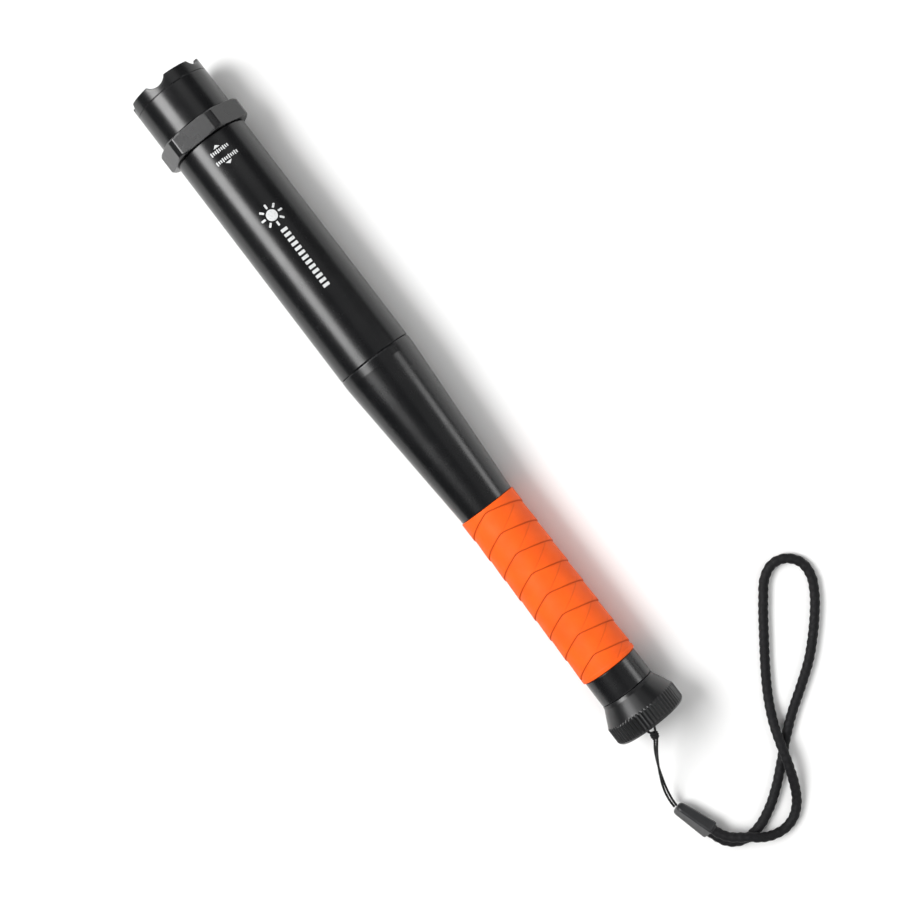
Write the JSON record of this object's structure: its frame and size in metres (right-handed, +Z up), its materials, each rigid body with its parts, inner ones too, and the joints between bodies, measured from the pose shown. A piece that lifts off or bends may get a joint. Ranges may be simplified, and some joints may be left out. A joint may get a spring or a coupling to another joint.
{
  "type": "hand light",
  "caption": "Bat-shaped hand light with a twist-zoom head, a hexagonal anti-roll ring, a rubber grip, a screw-on tail cap with a push switch, and a corded wrist loop.",
  "frame": {"origin": "middle of the light's footprint, lanyard not counted, on the surface that it lies on", "axes": "+X along the light towards the lens, +Z up from the surface it lies on; the axis of the light slopes down 0.157 degrees to the tail"},
  "size_m": [0.4453, 0.1211, 0.04],
  "materials": {
    "bezel_anodised": "satin black anodised",
    "head_anodised": "satin black anodised",
    "hex_anodised": "satin black anodised",
    "barrel_anodised": "satin black anodised",
    "handle_anodised": "satin black anodised",
    "tail_anodised": "satin black anodised",
    "orange_rubber": "matte moulded rubber",
    "black_rubber": "matte",
    "seal_rubber": "satin",
    "lens_glass": "polished clear",
    "white_nylon": "moulded",
    "grey_plastic": "moulded",
    "black_plastic": "moulded, lightly polished",
    "bare_aluminium": "turned",
    "brass_contact": "bright",
    "spring_steel": "plated wire",
    "circuit_board": "solder mask",
    "led_phosphor": "silicone over phosphor",
    "cell_wrap": "printed film over metal",
    "cord_nylon": "braided"
  },
  "bodies": {
    "handle": {"barrel": "barrel_anodised", "zoom_o_ring": "seal_rubber", "heat_sink": "bare_aluminium", "pill_lock_ring": "bare_aluminium", "led_board": "circuit_board", "led_emitter": "led_phosphor", "led_centring_ring": "white_nylon", "driver_board": "circuit_board", "driver_spring": "spring_steel", "contact_rod": "brass_contact", "rod_spacer": "grey_plastic", "joint_o_ring": "seal_rubber", "handle_tube": "handle_anodised", "grip_sleeve": "orange_rubber", "battery_sleeve": "grey_plastic", "battery_cell_1": "cell_wrap", "battery_cell_2": "cell_wrap", "battery_cell_3": "cell_wrap"},
    "zoom_carriage": {"zoom_glide_ring": "white_nylon"},
    "zoom_head": {"bezel_ring": "bezel_anodised", "head_sleeve": "head_anodised", "hex_ring": "hex_anodised", "lens_gasket": "seal_rubber", "focus_lens": "lens_glass", "lens_washer": "white_nylon"},
    "cap_carriage": {"cap_o_ring": "seal_rubber"},
    "tail_cap": {"tail_cap": "tail_anodised", "boot_skirt": "black_rubber", "boot_lock_ring": "bare_aluminium", "switch_module": "black_plastic", "switch_contact": "brass_contact", "tail_spring": "spring_steel", "lanyard_hitch": "cord_nylon", "string_upper": "cord_nylon", "string_lower": "cord_nylon", "connector": "black_plastic", "wrist_cord": "cord_nylon"},
    "switch": {"boot_dome": "black_rubber", "switch_plunger": "white_nylon"}
  },
  "joints": [
    {"name": "zoom_travel", "type": "slide", "parent": "handle", "child": "zoom_carriage", "axis": [1, 0, 0.0046], "range_m": [0, 0.01]},
    {"name": "zoom_twist", "type": "hinge", "parent": "zoom_carriage", "child": "zoom_head", "pos_m": [0.1575, 0, 0.01974], "axis": [1, 0, 0.0046], "range_deg": [0, 300]},
    {"name": "cap_travel", "type": "slide", "parent": "handle", "child": "cap_carriage", "axis": [-1, 0, -0.0046], "range_m": [0, 0.01]},
    {"name": "cap_twist", "type": "hinge", "parent": "cap_carriage", "child": "tail_cap", "pos_m": [-0.1825, 0, 0.01819], "axis": [-1, 0, -0.0046], "range_deg": [0, 1800]},
    {"name": "switch_press", "type": "slide", "parent": "tail_cap", "child": "switch", "axis": [1, 0, 0.0046], "range_m": [0, 0.0016], "stiffness_N_per_m": 2000}
  ],
  "couplings": [
    {"joint": "zoom_travel", "follows": "zoom_twist", "m_per_rad": 0.0019098},
    {"joint": "cap_travel", "follows": "cap_twist", "m_per_rad": 0.0003183}
  ]
}
